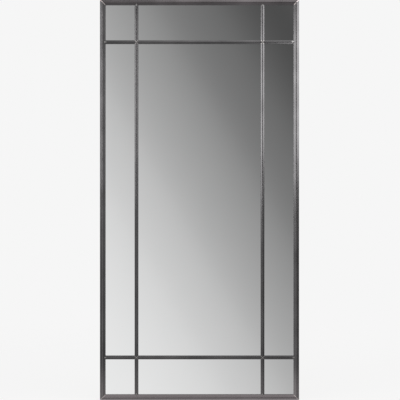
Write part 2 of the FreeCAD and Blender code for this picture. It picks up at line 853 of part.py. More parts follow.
mirror_glass()
sheet_piece("back_panel", "panel_gap", "recess_depth", "panel_thickness")
glazing_tapes()
muntin_tapes()
setting_blocks()
corner_pieces()
turn_buttons()
hangers()
document.recompute()

for item in document.Objects:
    if {"Invalid", "Error"} & set(item.State):
        raise RuntimeError(f"{item.Label} did not build: {item.State}")
for name, node in nodes.items():
    if node.Shape.isNull() or not node.Shape.isValid():
        raise RuntimeError(f"{name} has no valid shape")

os.makedirs("parts", exist_ok=True)
for name, node in nodes.items():
    node.Shape.exportStep(f"parts/{name}.step")
print(f"{len(nodes)} nodes written")
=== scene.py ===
import json
import math

import bmesh
import bpy
from mathutils import Matrix, Vector

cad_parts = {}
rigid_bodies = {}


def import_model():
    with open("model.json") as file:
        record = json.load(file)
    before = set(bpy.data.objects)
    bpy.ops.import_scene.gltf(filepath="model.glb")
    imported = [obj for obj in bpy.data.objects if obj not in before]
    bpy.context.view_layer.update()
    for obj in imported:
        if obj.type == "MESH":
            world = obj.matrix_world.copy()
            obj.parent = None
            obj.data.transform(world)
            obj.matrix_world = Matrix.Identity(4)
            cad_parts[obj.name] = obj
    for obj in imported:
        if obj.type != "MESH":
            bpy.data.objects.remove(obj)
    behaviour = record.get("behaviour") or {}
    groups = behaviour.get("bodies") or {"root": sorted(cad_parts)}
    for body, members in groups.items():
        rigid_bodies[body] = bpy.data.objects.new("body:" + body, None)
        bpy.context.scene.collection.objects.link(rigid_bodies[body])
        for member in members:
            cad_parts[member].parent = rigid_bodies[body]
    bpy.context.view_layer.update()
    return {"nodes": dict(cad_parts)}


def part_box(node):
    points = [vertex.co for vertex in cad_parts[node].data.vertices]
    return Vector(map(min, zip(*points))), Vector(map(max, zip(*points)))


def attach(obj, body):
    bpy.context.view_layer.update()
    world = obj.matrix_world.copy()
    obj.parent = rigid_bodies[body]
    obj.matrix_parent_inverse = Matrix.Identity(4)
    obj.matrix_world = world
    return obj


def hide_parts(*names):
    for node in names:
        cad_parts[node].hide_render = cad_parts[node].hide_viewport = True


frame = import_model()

# The frame: four mitred lengths of hollow aluminium profile. The front is a low gable with a
# rounded ridge, a flat leg stands behind it, and a thin skirt round the back hides the board.
# Extruded, patinated dark, sawn at 45 degrees and drawn together by corner keys.
WIDTH, HEIGHT = 0.900, 1.810
FRAME_FACE, FRAME_LEG, FRAME_WALL = 0.025, 0.018, 0.0015
FRAME_DEPTH, FRAME_RISE, LIP_DEPTH, SKIRT_DEPTH = 0.023, 0.007, 0.004, 0.008
FRAME_RIDGE_ROUNDING, FRAME_ARRIS = 0.00224, 0.0006
SAW_OVERRUN = 0.020
SKIRT_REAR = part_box("frame_left_stile")[1].y
LEG_REAR = SKIRT_REAR - SKIRT_DEPTH
FRAME_SHOULDER = SKIRT_REAR - FRAME_DEPTH
FRAME_APEX = FRAME_SHOULDER - FRAME_RISE
SEAT = FRAME_SHOULDER + LIP_DEPTH
SQUARE_ON = 0.9


def near(value, wanted):
    """Whether a coordinate is at a place, to a hundredth of a millimetre."""
    return abs(value - wanted) < 1e-5


def start_cube(name, low, high):
    """Adds a cube between two corners, with its place in its mesh, and opens it for editing."""
    bpy.ops.object.select_all(action="DESELECT")
    middle = [(a + b) / 2 for a, b in zip(low, high)]
    bpy.ops.mesh.primitive_cube_add(size=1, location=middle)
    piece = bpy.context.object
    piece.name = name
    piece.scale = [b - a for a, b in zip(low, high)]
    bpy.ops.object.transform_apply(location=True, rotation=True, scale=True)
    bpy.ops.object.mode_set(mode="EDIT")
    return piece


def select_in(piece, kind, chosen):
    """Selects the verts, edges or faces of the piece being edited that a test picks."""
    bpy.ops.mesh.select_mode(type=kind)
    bpy.ops.mesh.select_all(action="DESELECT")
    mesh = bmesh.from_edit_mesh(piece.data)
    mesh.normal_update()
    for element in {"VERT": mesh.verts, "EDGE": mesh.edges, "FACE": mesh.faces}[kind]:
        if chosen(element):
            element.select_set(True)
    mesh.select_flush_mode()
    bmesh.update_edit_mesh(piece.data)


def slice_at(point, normal, saw_off=False):
    """Cuts the piece being edited along a plane; sawing off drops what the normal points to."""
    bpy.ops.mesh.select_all(action="SELECT")
    bpy.ops.mesh.bisect(plane_co=point, plane_no=normal, use_fill=saw_off, clear_outer=saw_off)


def spread(axis, value, other=0.0):
    """A point or direction with a value on one of the two face axes and another on the second."""
    point = [0.0, 0.0, 0.0]
    point[axis] = value
    point[2 - axis] = other
    return point


def gabled_bar(name, axis, middle, width, ends, back, shoulder, apex, rounding):
    """A flat-backed bar with a gabled front and a rounded ridge; its face spans axis 0 or 2."""
    low = spread(axis, middle - width / 2, ends[0])
    high = spread(axis, middle + width / 2, ends[1])
    low[1], high[1] = shoulder, back
    piece = start_cube(name, low, high)
    slice_at(spread(axis, middle), spread(axis, 1))
    select_in(piece, "VERT", lambda v: near(v.co[axis], middle) and near(v.co.y, shoulder))
    bpy.ops.transform.translate(value=(0, apex - shoulder, 0))
    select_in(piece, "EDGE", lambda e: all(near(v.co.y, apex) for v in e.verts))
    bpy.ops.mesh.bevel(offset=rounding, segments=6, affect="EDGES")
    return piece


def ease_arrises(piece, axis, middle, width, shoulder, arris, segments):
    """Rounds the two long edges where the slopes of a gabled bar meet its sides."""
    def on_arris(vert):
        return near(vert.co.y, shoulder) and near(abs(vert.co[axis] - middle), width / 2)

    def lengthwise(edge):
        return near(edge.verts[0].co[axis], edge.verts[1].co[axis])

    select_in(piece, "EDGE", lambda e: all(on_arris(v) for v in e.verts) and lengthwise(e))
    bpy.ops.mesh.bevel(offset=arris, segments=segments, affect="EDGES")


def close_edit(piece, smooth_angle=30):
    """Leaves edit mode with clean outward faces: flats stay flat, gentle turns are smooth."""
    bpy.ops.mesh.select_all(action="SELECT")
    bpy.ops.mesh.remove_doubles(threshold=1e-6)
    bpy.ops.mesh.normals_make_consistent(inside=False)
    if bmesh.from_edit_mesh(piece.data).calc_volume(signed=True) < 0:
        bpy.ops.mesh.flip_normals()
    bpy.ops.object.mode_set(mode="OBJECT")
    bpy.ops.object.shade_smooth_by_angle(angle=math.radians(smooth_angle))
    flats = piece.modifiers.new("flats", "WEIGHTED_NORMAL")
    flats.weight = 100
    flats.keep_sharp = True
    bpy.ops.object.modifier_apply(modifier=flats.name)


def frame_member(name, axis, outer, length):
    """One frame member: the gabled lip, the leg and skirt drawn out behind it, and two mitres."""
    ends = (-SAW_OVERRUN, length + SAW_OVERRUN)
    if axis == 2:
        ends = (-length / 2 - SAW_OVERRUN, length / 2 + SAW_OVERRUN)
    middle = outer + FRAME_FACE / 2
    piece = gabled_bar(
        name, axis, middle, FRAME_FACE, ends,
        SEAT, FRAME_SHOULDER, FRAME_APEX, FRAME_RIDGE_ROUNDING,
    )
    for line, level, reach in (
        (outer + FRAME_LEG, SEAT, LEG_REAR - SEAT),
        (outer + FRAME_WALL, LEG_REAR, SKIRT_REAR - LEG_REAR),
    ):
        slice_at(spread(axis, line), spread(axis, 1))
        select_in(piece, "FACE", lambda f: f.normal.y > SQUARE_ON
                  and f.calc_center_median()[axis] < line
                  and near(f.calc_center_median().y, level))
        bpy.ops.mesh.extrude_region_move(TRANSFORM_OT_translate={"value": (0, reach, 0)})
    ease_arrises(piece, axis, middle, FRAME_FACE, FRAME_SHOULDER, FRAME_ARRIS, segments=3)
    slice_at(spread(axis, outer, ends[0] + SAW_OVERRUN), spread(axis, 1, -1), saw_off=True)
    slice_at(spread(axis, outer, ends[1] - SAW_OVERRUN), spread(axis, 1, 1), saw_off=True)
    close_edit(piece)
    return piece


def copy_to(piece, name, place):
    """Copies a finished piece, with a mesh of its own, to a place given as a matrix."""
    copy = piece.copy()
    copy.data = piece.data.copy()
    copy.name = name
    copy.data.transform(place)
    bpy.context.collection.objects.link(copy)
    return copy


# Each member is turned by half a turn about the mirror's middle to make the opposite one.
centre = Matrix.Translation((0, 0, HEIGHT / 2))
half_turn = centre @ Matrix.Rotation(math.pi, 4, "Y") @ centre.inverted()
left_stile = frame_member("frame_left_stile_profile", 0, -WIDTH / 2, HEIGHT)
bottom_rail = frame_member("frame_bottom_rail_profile", 2, 0.0, WIDTH)
frame_profiles = {
    "frame_left_stile": left_stile,
    "frame_right_stile": copy_to(left_stile, "frame_right_stile_profile", half_turn),
    "frame_bottom_rail": bottom_rail,
    "frame_top_rail": copy_to(bottom_rail, "frame_top_rail_profile", half_turn),
}


def linear(hex_colour):
    """Turns an sRGB hex colour into the linear values that a shader takes."""
    parts = [int(hex_colour[i:i + 2], 16) / 255 for i in (1, 3, 5)]
    return [c / 12.92 if c <= 0.04045 else ((c + 0.055) / 1.055) ** 2.4 for c in parts] + [1.0]


def fill(owner, made, inputs):
    """Gives a node's inputs their values, or links them to the outputs of other nodes."""
    for socket, value in inputs.items():
        if isinstance(value, bpy.types.NodeSocket):
            owner.node_tree.links.new(value, made.inputs[socket])
        else:
            made.inputs[socket].default_value = value


def add_node(owner, kind, inputs=None, **settings):
    """Adds a node with its settings, and fills its inputs."""
    made = owner.node_tree.nodes.new(kind)
    for setting, value in settings.items():
        setattr(made, setting, value)
    fill(owner, made, inputs or {})
    return made


def new_finish(name, constants):
    """Starts a material and returns it with its shader and its object coordinates."""
    finish = bpy.data.materials.new(name)
    finish.use_nodes = True
    shader = finish.node_tree.nodes["Principled BSDF"]
    fill(finish, shader, constants)
    return finish, shader, add_node(finish, "ShaderNodeTexCoord").outputs["Object"]


# A Mix node's sockets for colours go by number, because others have the same names.
SHARE, FIRST, SECOND, MIXED = 0, 6, 7, 2

# The patina's patches and specks, and where its rubbed and filed bands and its painted lighter foot
# start and end.
# The specks are drawn coarse, at 1.8 mm, to show.
PATCH_SIZE, SPECK_SIZE, SPECK_SHARE = 0.14, 0.0018, 0.3
RUBBED_EDGE, RUBBED_CREST = 0.0025, 0.0003
FILED_EDGE, FILED_SEAM = 0.0032, 0.001
PAINTED_LIGHT_TOP, PAINTED_LIGHT_FOOT = 0.200, 0.015
JOINT_FADE, FRONT_FADE = 0.9, 0.001


def patinated_aluminium(name, ridge_x, ridge_z, joint_reach, front, crossing, tones):
    """Aluminium darkened by a chemical patina and waxed: a soft dark gleam in uneven patches,
    rubbed lighter along the ridges and filed bright where two lengths meet. Towards the foot it is
    made lighter as painted light."""
    dark, mid, worn_and_lit_tone, bare = map(linear, tones)
    finish, shader, place = new_finish(name, {"Metallic": 1.0})

    # How far a point lies from the nearest joint, the nearest ridge and the nearest mitre or cope.
    # The bars' ridges cross at a joint, and those of the frame turn there.
    axes = add_node(finish, "ShaderNodeSeparateXYZ", {0: place})
    side = add_node(finish, "ShaderNodeMath", {0: axes.outputs["X"]}, operation="ABSOLUTE")
    level = add_node(finish, "ShaderNodeMath", {
        0: axes.outputs["Z"], 1: HEIGHT / 2,
    }, operation="SUBTRACT")
    level = add_node(finish, "ShaderNodeMath", {0: level.outputs[0]}, operation="ABSOLUTE")
    off_x = add_node(finish, "ShaderNodeMath", {
        0: side.outputs[0], 1: ridge_x,
    }, operation="SUBTRACT")
    off_z = add_node(finish, "ShaderNodeMath", {
        0: level.outputs[0], 1: ridge_z,
    }, operation="SUBTRACT")
    far_x = add_node(finish, "ShaderNodeMath", {0: off_x.outputs[0]}, operation="ABSOLUTE")
    far_z = add_node(finish, "ShaderNodeMath", {0: off_z.outputs[0]}, operation="ABSOLUTE")
    joint = add_node(finish, "ShaderNodeMath", {
        0: far_x.outputs[0], 1: far_z.outputs[0],
    }, operation="MAXIMUM")
    nearer = "MAXIMUM"
    if crossing:
        off_x, off_z, nearer = far_x, far_z, "MINIMUM"
    ridge = add_node(finish, "ShaderNodeMath", {
        0: off_x.outputs[0], 1: off_z.outputs[0],
    }, operation=nearer)
    ridge = add_node(finish, "ShaderNodeMath", {0: ridge.outputs[0]}, operation="ABSOLUTE")
    seam = add_node(finish, "ShaderNodeMath", {
        0: off_x.outputs[0], 1: off_z.outputs[0],
    }, operation="SUBTRACT")
    seam = add_node(finish, "ShaderNodeMath", {0: seam.outputs[0]}, operation="ABSOLUTE")

    # Rubbed along the ridges and filed at the joints, on the front only; painted lighter towards
    # the foot all round, as painted light.
    patches = add_node(finish, "ShaderNodeTexNoise", {
        "Vector": place, "Scale": 1 / PATCH_SIZE, "Detail": 2.0,
    })
    specks = add_node(finish, "ShaderNodeTexNoise", {
        "Vector": place, "Scale": 1 / SPECK_SIZE, "Detail": 3.0,
    })
    on_front = add_node(finish, "ShaderNodeMapRange", {
        "Value": axes.outputs["Y"], "From Min": front + FRONT_FADE, "From Max": front,
    })
    rubbed = add_node(finish, "ShaderNodeMapRange", {
        "Value": ridge.outputs[0], "From Min": RUBBED_EDGE, "From Max": RUBBED_CREST,
        "To Min": 0.0, "To Max": 0.55,
    }, interpolation_type="SMOOTHSTEP")
    rubbed = add_node(finish, "ShaderNodeMath", {
        0: rubbed.outputs[0], 1: patches.outputs["Fac"],
    }, operation="MULTIPLY")
    rubbed = add_node(finish, "ShaderNodeMath", {
        0: rubbed.outputs[0], 1: on_front.outputs[0],
    }, operation="MULTIPLY")
    at_joint = add_node(finish, "ShaderNodeMapRange", {
        "Value": joint.outputs[0], "From Min": joint_reach, "From Max": joint_reach * JOINT_FADE,
    }, interpolation_type="SMOOTHSTEP")
    filed = add_node(finish, "ShaderNodeMapRange", {
        "Value": seam.outputs[0], "From Min": FILED_EDGE, "From Max": FILED_SEAM,
        "To Min": 0.0, "To Max": 0.85,
    }, interpolation_type="SMOOTHSTEP")
    filed = add_node(finish, "ShaderNodeMath", {
        0: filed.outputs[0], 1: at_joint.outputs[0],
    }, operation="MULTIPLY")
    filed = add_node(finish, "ShaderNodeMath", {
        0: filed.outputs[0], 1: on_front.outputs[0],
    }, operation="MULTIPLY")
    # Painted light: the metal is made lighter towards the foot, for light that the bottom rail
    # catches.
    painted_light_foot = add_node(finish, "ShaderNodeMapRange", {
        "Value": axes.outputs["Z"], "From Min": PAINTED_LIGHT_TOP, "From Max": PAINTED_LIGHT_FOOT,
        "To Min": 0.0, "To Max": 0.48,
    }, interpolation_type="SMOOTHSTEP")
    wear_and_painted_light = add_node(finish, "ShaderNodeMath", {
        0: rubbed.outputs[0], 1: painted_light_foot.outputs[0],
    }, operation="MAXIMUM")

    # The patina itself, in patches with fine specks, under the worn metal, the painted light at the
    # foot and the filed metal.
    mottled = add_node(finish, "ShaderNodeMath", {
        0: specks.outputs["Fac"], 1: SPECK_SHARE, 2: patches.outputs["Fac"],
    }, operation="MULTIPLY_ADD")
    tone = add_node(finish, "ShaderNodeMapRange", {
        "Value": mottled.outputs[0], "From Min": 0.4, "From Max": 0.9,
    })
    patina = add_node(finish, "ShaderNodeMix", {
        SHARE: tone.outputs[0], FIRST: dark, SECOND: mid,
    }, data_type="RGBA")
    worn_and_lit_metal = add_node(finish, "ShaderNodeMix", {
        SHARE: wear_and_painted_light.outputs[0], FIRST: patina.outputs[MIXED], SECOND: worn_and_lit_tone,
    }, data_type="RGBA")
    colour = add_node(finish, "ShaderNodeMix", {
        SHARE: filed.outputs[0], FIRST: worn_and_lit_metal.outputs[MIXED], SECOND: bare,
    }, data_type="RGBA")
    gleam = add_node(finish, "ShaderNodeMapRange", {
        "Value": specks.outputs["Fac"], "From Min": 0.25, "From Max": 0.75,
        "To Min": 0.2, "To Max": 0.26,
    })
    grain = add_node(finish, "ShaderNodeBump", {
        "Strength": 0.006, "Distance": 0.0003, "Height": specks.outputs["Fac"],
    })
    fill(finish, shader, {
        "Base Color": colour.outputs[MIXED], "Roughness": gleam.outputs[0],
        "Normal": grain.outputs[0],
    })
    return finish


# The lengths were patinated in two batches, and the rails came out a shade browner. The tones
# are the patina at its darkest and lightest, the worn metal (also the painted light at the foot)
# and the filed metal.
STILE_TONES = ("#4f4e4f", "#666566", "#a19b9c", "#cbc2c0")
RAIL_TONES = ("#4d4a4b", "#646062", "#a39a9c", "#cbc2c0")
frame_ridges = {
    "ridge_x": WIDTH / 2 - FRAME_FACE / 2, "ridge_z": HEIGHT / 2 - FRAME_FACE / 2,
    "joint_reach": FRAME_FACE / 2, "front": FRAME_SHOULDER, "crossing": False,
}
stile_patina = patinated_aluminium("patinated_aluminium_stiles", tones=STILE_TONES, **frame_ridges)
rail_patina = patinated_aluminium("patinated_aluminium_rails", tones=RAIL_TONES, **frame_ridges)
for node, piece in frame_profiles.items():
    piece.data.materials.append(stile_patina if "stile" in node else rail_patina)
    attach(piece, "mirror")
    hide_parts(node)

# The corner keys: die-cast aluminium angle pieces that slide into the hollow legs, where two
# screws each draw the mitres together. They are out of sight once the frame is closed.
CAST_GRAIN = 0.003


def dress(node, finish):
    """Gives a solid of the model its finish."""
    finishes = frame["nodes"][node].data.materials
    finishes.clear()
    finishes.append(finish)


# Die-cast aluminium: a pale grey, slightly grainy skin straight from the die.
cast_aluminium, shader, place = new_finish("die_cast_aluminium", {"Metallic": 1.0})
skin = add_node(cast_aluminium, "ShaderNodeTexNoise", {
    "Vector": place, "Scale": 1 / CAST_GRAIN, "Detail": 4.0,
})
pale = add_node(cast_aluminium, "ShaderNodeMix", {
    SHARE: skin.outputs["Fac"], FIRST: linear("#9b9c9e"), SECOND: linear("#b4b5b6"),
}, data_type="RGBA")
dull = add_node(cast_aluminium, "ShaderNodeMapRange", {
    "Value": skin.outputs["Fac"], "To Min": 0.38, "To Max": 0.6,
})
fill(cast_aluminium, shader, {"Base Color": pale.outputs[MIXED], "Roughness": dull.outputs[0]})
for end in ("bottom", "top"):
    for hand in ("left", "right"):
        dress(f"corner_key_{end}_{hand}", cast_aluminium)

# The glazing tapes, bonding tapes and setting blocks: black foam strips under the lip and the
# bars, and two rubber blocks that the glass stands on. All are pressed in while assembling.
FOAM_CELL, DUST_SIZE = 0.0005, 0.004

# Closed-cell foam: dead matt black, pitted by the cut cells of about half a millimetre. Each pit is
# painted darker towards its middle, a painted shade.
foam, shader, place = new_finish("closed_cell_foam", {"Roughness": 0.9})
cells = add_node(foam, "ShaderNodeTexVoronoi", {"Vector": place, "Scale": 1 / FOAM_CELL})
# Painted shade: each cell is darker towards its middle, in its pit.
depth = add_node(foam, "ShaderNodeMix", {
    SHARE: cells.outputs["Distance"], FIRST: linear("#131313"), SECOND: linear("#222222"),
}, data_type="RGBA")
pits = add_node(foam, "ShaderNodeBump", {
    "Strength": 0.3, "Distance": 0.0002, "Height": cells.outputs["Distance"],
})
fill(foam, shader, {"Base Color": depth.outputs[MIXED], "Normal": pits.outputs[0]})
for node in ("glazing_tapes", "muntin_tapes"):
    dress(node, foam)

# Moulded rubber: near-black with a soft low sheen, a little dusty in the hollows.
rubber, shader, place = new_finish("moulded_rubber", {"IOR": 1.52})
dust = add_node(rubber, "ShaderNodeTexNoise", {
    "Vector": place, "Scale": 1 / DUST_SIZE, "Detail": 4.0,
})
bloom = add_node(rubber, "ShaderNodeMix", {
    SHARE: dust.outputs["Fac"], FIRST: linear("#161617"), SECOND: linear("#2a2a2b"),
}, data_type="RGBA")
sheen = add_node(rubber, "ShaderNodeMapRange", {
    "Value": dust.outputs["Fac"], "To Min": 0.5, "To Max": 0.75,
})
fill(rubber, shader, {"Base Color": bloom.outputs[MIXED], "Roughness": sheen.outputs[0]})
dress("setting_blocks", rubber)

# The mirror: one sheet of 5 mm float glass, ground on its edges and silvered on the back. It
# lies behind all nine panes, on the setting blocks and against the glazing tape.
PULL_SIZE, WIPE_SIZE = 0.45, 0.12

# Silvered float glass: a clear neutral reflection, with the faint pull of the float bath and a
# trace of haze left by wiping.
silvered_glass, shader, place = new_finish("silvered_float_glass", {"Metallic": 1.0})
pull = add_node(silvered_glass, "ShaderNodeTexNoise", {
    "Vector": place, "Scale": 1 / PULL_SIZE, "Detail": 1.0,
})
wiping = add_node(silvered_glass, "ShaderNodeTexNoise", {
    "Vector": place, "Scale": 1 / WIPE_SIZE, "Detail": 3.0,
})
tint = add_node(silvered_glass, "ShaderNodeMix", {
    SHARE: wiping.outputs["Fac"], FIRST: linear("#f3f4f4"), SECOND: linear("#f6f6f6"),
}, data_type="RGBA")
haze = add_node(silvered_glass, "ShaderNodeMapRange", {
    "Value": wiping.outputs["Fac"], "To Min": 0.0, "To Max": 0.03,
})
ripple = add_node(silvered_glass, "ShaderNodeBump", {
    "Strength": 0.02, "Distance": 0.001, "Height": pull.outputs["Fac"],
})
fill(silvered_glass, shader, {
    "Base Color": tint.outputs[MIXED], "Roughness": haze.outputs[0], "Normal": ripple.outputs[0],
})
dress("mirror_glass", silvered_glass)

# The glazing bars: two level lengths from stile to stile and six upright ones between them, all
# of one gabled section, coped over each other and into the frame's inner slope and bonded to
# the glass. Same metal and patina as the frame, with the copes filed bright.
BAR_WIDTH, BAR_EDGE, BAR_RISE = 0.017, 0.002, 0.005
BAR_RIDGE_ROUNDING, BAR_ARRIS = 0.00235, 0.0008
BAR_SHOULDER = SEAT - BAR_EDGE
BAR_APEX = BAR_SHOULDER - BAR_RISE
BAR_INSET, BAR_LOWER = 0.165, 0.192
BAR_SIDE, BAR_UPPER = WIDTH / 2 - BAR_INSET, HEIGHT - BAR_LOWER
BAR_TONES = ("#4d4c4d", "#646364", "#827e7f", "#8e8a89")
COPE_FIT = 0.00002
SHORT_OF_RIDGE = COPE_FIT * 10


def cope_saw(meeting):
    """A cutting copy of a piece that a bar meets, a hair lower and drawn out at the back."""
    bpy.ops.object.select_all(action="DESELECT")
    saw = meeting.copy()
    saw.data = meeting.data.copy()
    bpy.context.collection.objects.link(saw)
    bpy.context.view_layer.objects.active = saw
    bpy.ops.object.mode_set(mode="EDIT")
    bpy.ops.mesh.select_all(action="SELECT")
    bpy.ops.transform.translate(value=(0, COPE_FIT, 0))
    select_in(saw, "VERT", lambda v: near(v.co.y, SEAT + COPE_FIT))
    bpy.ops.transform.translate(value=(0, SEAT - BAR_SHOULDER, 0))
    bpy.ops.object.mode_set(mode="OBJECT")
    return saw


def cut_away(piece, cutter):
    """Takes a cutter's shape out of a piece, and puts the cutter away."""
    bpy.context.view_layer.objects.active = piece
    cut = piece.modifiers.new("cut", "BOOLEAN")
    cut.operation = "DIFFERENCE"
    cut.solver = "EXACT"
    cut.object = cutter
    bpy.ops.object.modifier_apply(modifier=cut.name)
    bpy.data.objects.remove(cutter)


def glazing_bar(name, axis, middle, ends, cut_by):
    """One glazing bar, with its long edges eased and its ends coped to the pieces it meets."""
    piece = gabled_bar(
        name, axis, middle, BAR_WIDTH, ends, SEAT, BAR_SHOULDER, BAR_APEX, BAR_RIDGE_ROUNDING,
    )
    ease_arrises(piece, axis, middle, BAR_WIDTH, BAR_SHOULDER, BAR_ARRIS, segments=2)
    bpy.ops.object.mode_set(mode="OBJECT")
    for meeting in cut_by:
        cut_away(piece, cope_saw(meeting))
    bpy.ops.object.mode_set(mode="EDIT")
    close_edit(piece)
    return piece


stiles = (frame_profiles["frame_left_stile"], frame_profiles["frame_right_stile"])
ridge_to_ridge = (-WIDTH / 2 + FRAME_FACE / 2, WIDTH / 2 - FRAME_FACE / 2)
bars = {}
for level, height in (("lower", BAR_LOWER), ("upper", BAR_UPPER)):
    node = f"muntin_{level}_bar"
    bars[node] = glazing_bar(f"{node}_coped", 2, height, ridge_to_ridge, stiles)
runs = (
    ("bottom", (FRAME_FACE / 2, BAR_LOWER - SHORT_OF_RIDGE),
     ("frame_bottom_rail", "muntin_lower_bar")),
    ("middle", (BAR_LOWER + SHORT_OF_RIDGE, BAR_UPPER - SHORT_OF_RIDGE),
     ("muntin_lower_bar", "muntin_upper_bar")),
    ("top", (BAR_UPPER + SHORT_OF_RIDGE, HEIGHT - FRAME_FACE / 2),
     ("muntin_upper_bar", "frame_top_rail")),
)
for hand, sign in (("left", -1), ("right", 1)):
    for run, ends, meets in runs:
        node = f"muntin_{hand}_{run}"
        cut_by = [frame_profiles.get(name) or bars[name] for name in meets]
        bars[node] = glazing_bar(f"{node}_coped", 0, sign * BAR_SIDE, ends, cut_by)
bar_patina = patinated_aluminium(
    "patinated_aluminium_bars", ridge_x=BAR_SIDE, ridge_z=BAR_UPPER - HEIGHT / 2,
    joint_reach=BAR_WIDTH / 2, front=BAR_SHOULDER, crossing=True, tones=BAR_TONES,
)
for node, piece in bars.items():
    piece.data.materials.append(bar_patina)
    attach(piece, "mirror")
    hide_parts(node)

# The solder dabs: a small bead of soft solder over the crest at each joint of the bars, run in
# with an iron and wiped while warm. Those at the bars' ends are drawn out along the bar.
DAB_RADIUS, DAB_DEPTH, DAB_PROUD = 0.0031, 0.0025, 0.0012
DAB_UNEVENNESS, DAB_SEED, DAB_TURN = 0.0002, 5, 2.4
SOLDER_GRAIN, SOLDER_UNEVENNESS = 0.0015, 0.16
END_INSET, END_STRETCH = 0.0245, 1.9
BAR_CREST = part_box("muntin_left_middle")[0].y
bpy.ops.object.select_all(action="DESELECT")
bpy.ops.mesh.primitive_uv_sphere_add(segments=24, ring_count=12, radius=DAB_RADIUS)
dab = bpy.context.object
bpy.ops.object.mode_set(mode="EDIT")
bpy.ops.mesh.select_all(action="SELECT")
bpy.ops.transform.resize(value=(1.0, DAB_DEPTH / DAB_RADIUS, 1.0))
bpy.ops.transform.vertex_random(offset=DAB_UNEVENNESS, seed=DAB_SEED)
bpy.ops.mesh.vertices_smooth(factor=0.5)
bpy.ops.object.mode_set(mode="OBJECT")
bpy.ops.object.shade_smooth()


def soft_solder(name, dull, bright, satin):
    """Soft solder: tin, wiped to satin, a little brighter on its high spots. It greys with age."""
    finish, shader, place = new_finish(name, {"Metallic": 1.0})
    skin = add_node(finish, "ShaderNodeTexNoise", {
        "Vector": place, "Scale": 1 / SOLDER_GRAIN, "Detail": 3.0,
    })
    tin = add_node(finish, "ShaderNodeMix", {
        SHARE: skin.outputs["Fac"], FIRST: linear(dull), SECOND: linear(bright),
    }, data_type="RGBA")
    wiped = add_node(finish, "ShaderNodeMapRange", {
        "Value": skin.outputs["Fac"], "To Min": satin, "To Max": satin + SOLDER_UNEVENNESS,
    })
    fill(finish, shader, {"Base Color": tin.outputs[MIXED], "Roughness": wiped.outputs[0]})
    return finish


aged_solder = soft_solder("aged_soft_solder", "#8a8886", "#a9a7a5", 0.34)
# Near-white tin for this one bead only: a painted glint.
glint_solder = soft_solder("glint_soft_solder", "#e2e1e0", "#f2f1f0", 0.22)
dab.data.materials.append(aged_solder)

# One joint, at the right end of the upper bar, was run again: its bead laps over the gable. Its
# tin is made near-white, a painted glint.
LAPPED_SIZE, LAPPED_SEAT, LAPPED_INSET, LAPPED_RISE = (2.2, 1.5, 1.6), 0.0029, 0.0285, 0.0015
dab_seat = BAR_CREST + DAB_DEPTH - DAB_PROUD
bar_end = WIDTH / 2 - END_INSET
plain, along_x, along_z = (1, 1, 1), (END_STRETCH, 1, 1), (1, 1, END_STRETCH)
joints = [
    ((sign * x, dab_seat, z), stretch, aged_solder)
    for sign in (-1, 1)
    for x, z, stretch in (
        (bar_end, BAR_LOWER, along_x), (bar_end, BAR_UPPER, along_x),
        (BAR_SIDE, BAR_LOWER, plain), (BAR_SIDE, BAR_UPPER, plain),
        (BAR_SIDE, END_INSET, along_z), (BAR_SIDE, HEIGHT - END_INSET, along_z),
    )
    if (sign * x, z) != (bar_end, BAR_UPPER)
]
lapped = (WIDTH / 2 - LAPPED_INSET, BAR_CREST + LAPPED_SEAT, BAR_UPPER + LAPPED_RISE)
joints.append((lapped, LAPPED_SIZE, glint_solder))
# Each bead is turned a little further than the last, so that no two look alike.
bpy.ops.object.select_all(action="DESELECT")
for number, (point, stretch, solder) in enumerate(joints):
    drawn = Matrix.Diagonal((*stretch, 1)) @ Matrix.Rotation(DAB_TURN * number, 4, "Y")
    solder_dabs = copy_to(dab, "solder_dabs", Matrix.Translation(point) @ drawn)
    solder_dabs.data.materials[0] = solder
    solder_dabs.select_set(True)
bpy.context.view_layer.objects.active = solder_dabs
bpy.ops.object.join()
solder_dabs.name = "solder_dabs"
bpy.data.objects.remove(dab)
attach(solder_dabs, "mirror")

# The back board: a sheet of raw 5 mm fibreboard, sawn to size and laid in behind the glass,
# where it keeps knocks off the silvering. Only the turn buttons hold it.
CLOUD_SIZE, FIBRE_SIZE, FLECK_SIZE = 0.22, 0.004, 0.006

# Smooth fibreboard: warm brown, felted from short fibres in no direction, with darker flecks of
# bark and a faint cloudiness from the press. The fibres are drawn coarse, at 4 mm, to show.
fibreboard, shader, place = new_finish("smooth_fibreboard", {"IOR": 1.5})
clouds = add_node(fibreboard, "ShaderNodeTexNoise", {
    "Vector": place, "Scale": 1 / CLOUD_SIZE, "Detail": 5.0,
})
fibres = add_node(fibreboard, "ShaderNodeTexNoise", {
    "Vector": place, "Scale": 1 / FIBRE_SIZE, "Detail": 6.0, "Roughness": 0.7, "Distortion": 1.5,
})
flecks = add_node(fibreboard, "ShaderNodeTexNoise", {
    "Vector": place, "Scale": 1 / FLECK_SIZE, "Detail": 3.0, "Distortion": 2.0,
})
fleck = add_node(fibreboard, "ShaderNodeMapRange", {
    "Value": flecks.outputs["Fac"], "From Min": 0.66, "From Max": 0.8,
    "To Min": 0.0, "To Max": 0.6,
})
cloud = add_node(fibreboard, "ShaderNodeMapRange", {
    "Value": clouds.outputs["Fac"], "From Min": 0.35, "From Max": 0.65,
})
felt = add_node(fibreboard, "ShaderNodeMix", {
    SHARE: fibres.outputs["Fac"], FIRST: linear("#7d5c3d"), SECOND: linear("#a98359"),
}, data_type="RGBA")
pressed = add_node(fibreboard, "ShaderNodeMix", {
    SHARE: cloud.outputs[0], FIRST: felt.outputs[MIXED], SECOND: linear("#9c7a52"),
}, data_type="RGBA")
barked = add_node(fibreboard, "ShaderNodeMix", {
    SHARE: fleck.outputs[0], FIRST: pressed.outputs[MIXED], SECOND: linear("#5d412a"),
}, data_type="RGBA")
matt = add_node(fibreboard, "ShaderNodeMapRange", {
    "Value": fibres.outputs["Fac"], "To Min": 0.6, "To Max": 0.8,
})
